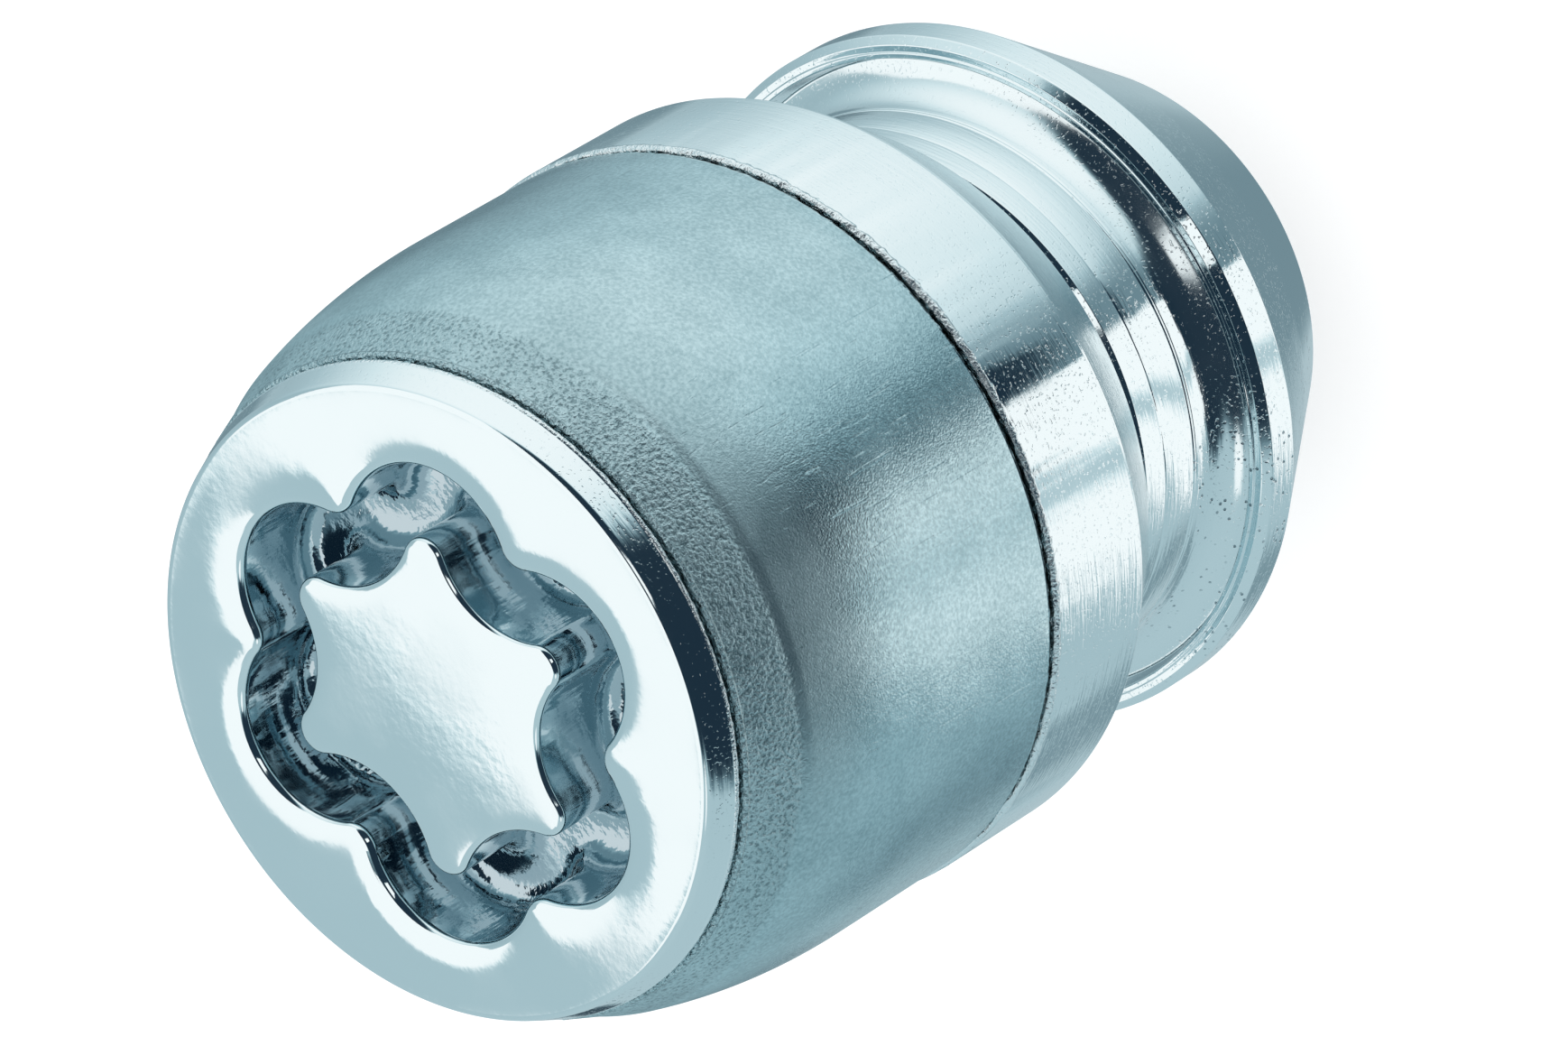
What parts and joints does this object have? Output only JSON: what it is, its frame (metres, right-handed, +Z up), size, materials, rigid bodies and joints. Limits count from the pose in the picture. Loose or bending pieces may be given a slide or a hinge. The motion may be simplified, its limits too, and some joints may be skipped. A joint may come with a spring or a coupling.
{
  "type": "locking wheel nut",
  "caption": "Locking wheel nut with a cone seat, a blind threaded hole, a star-shaped key groove in its face and a freely spinning outer collar.",
  "frame": {"origin": "middle of the cone's small end face, which the nut stands on", "axes": "+Z up along the thread's axis, from the cone end to the keyed face; the cone seats towards -Z"},
  "size_m": [0.024, 0.024, 0.0345],
  "materials": {
    "plated_steel": "bright chrome plate over turned and forged steel, cool blue-green cast",
    "tumbled_steel": "matte tumbled grain with small scratches"
  },
  "bodies": {
    "nut": {"nut_body": "plated_steel"},
    "collar": {"collar": "tumbled_steel"}
  },
  "joints": [
    {"name": "collar_spin", "type": "hinge", "parent": "nut", "child": "collar", "pos_m": [0, 0, 0.0265], "axis": [0, 0, 1], "continuous": true}
  ]
}
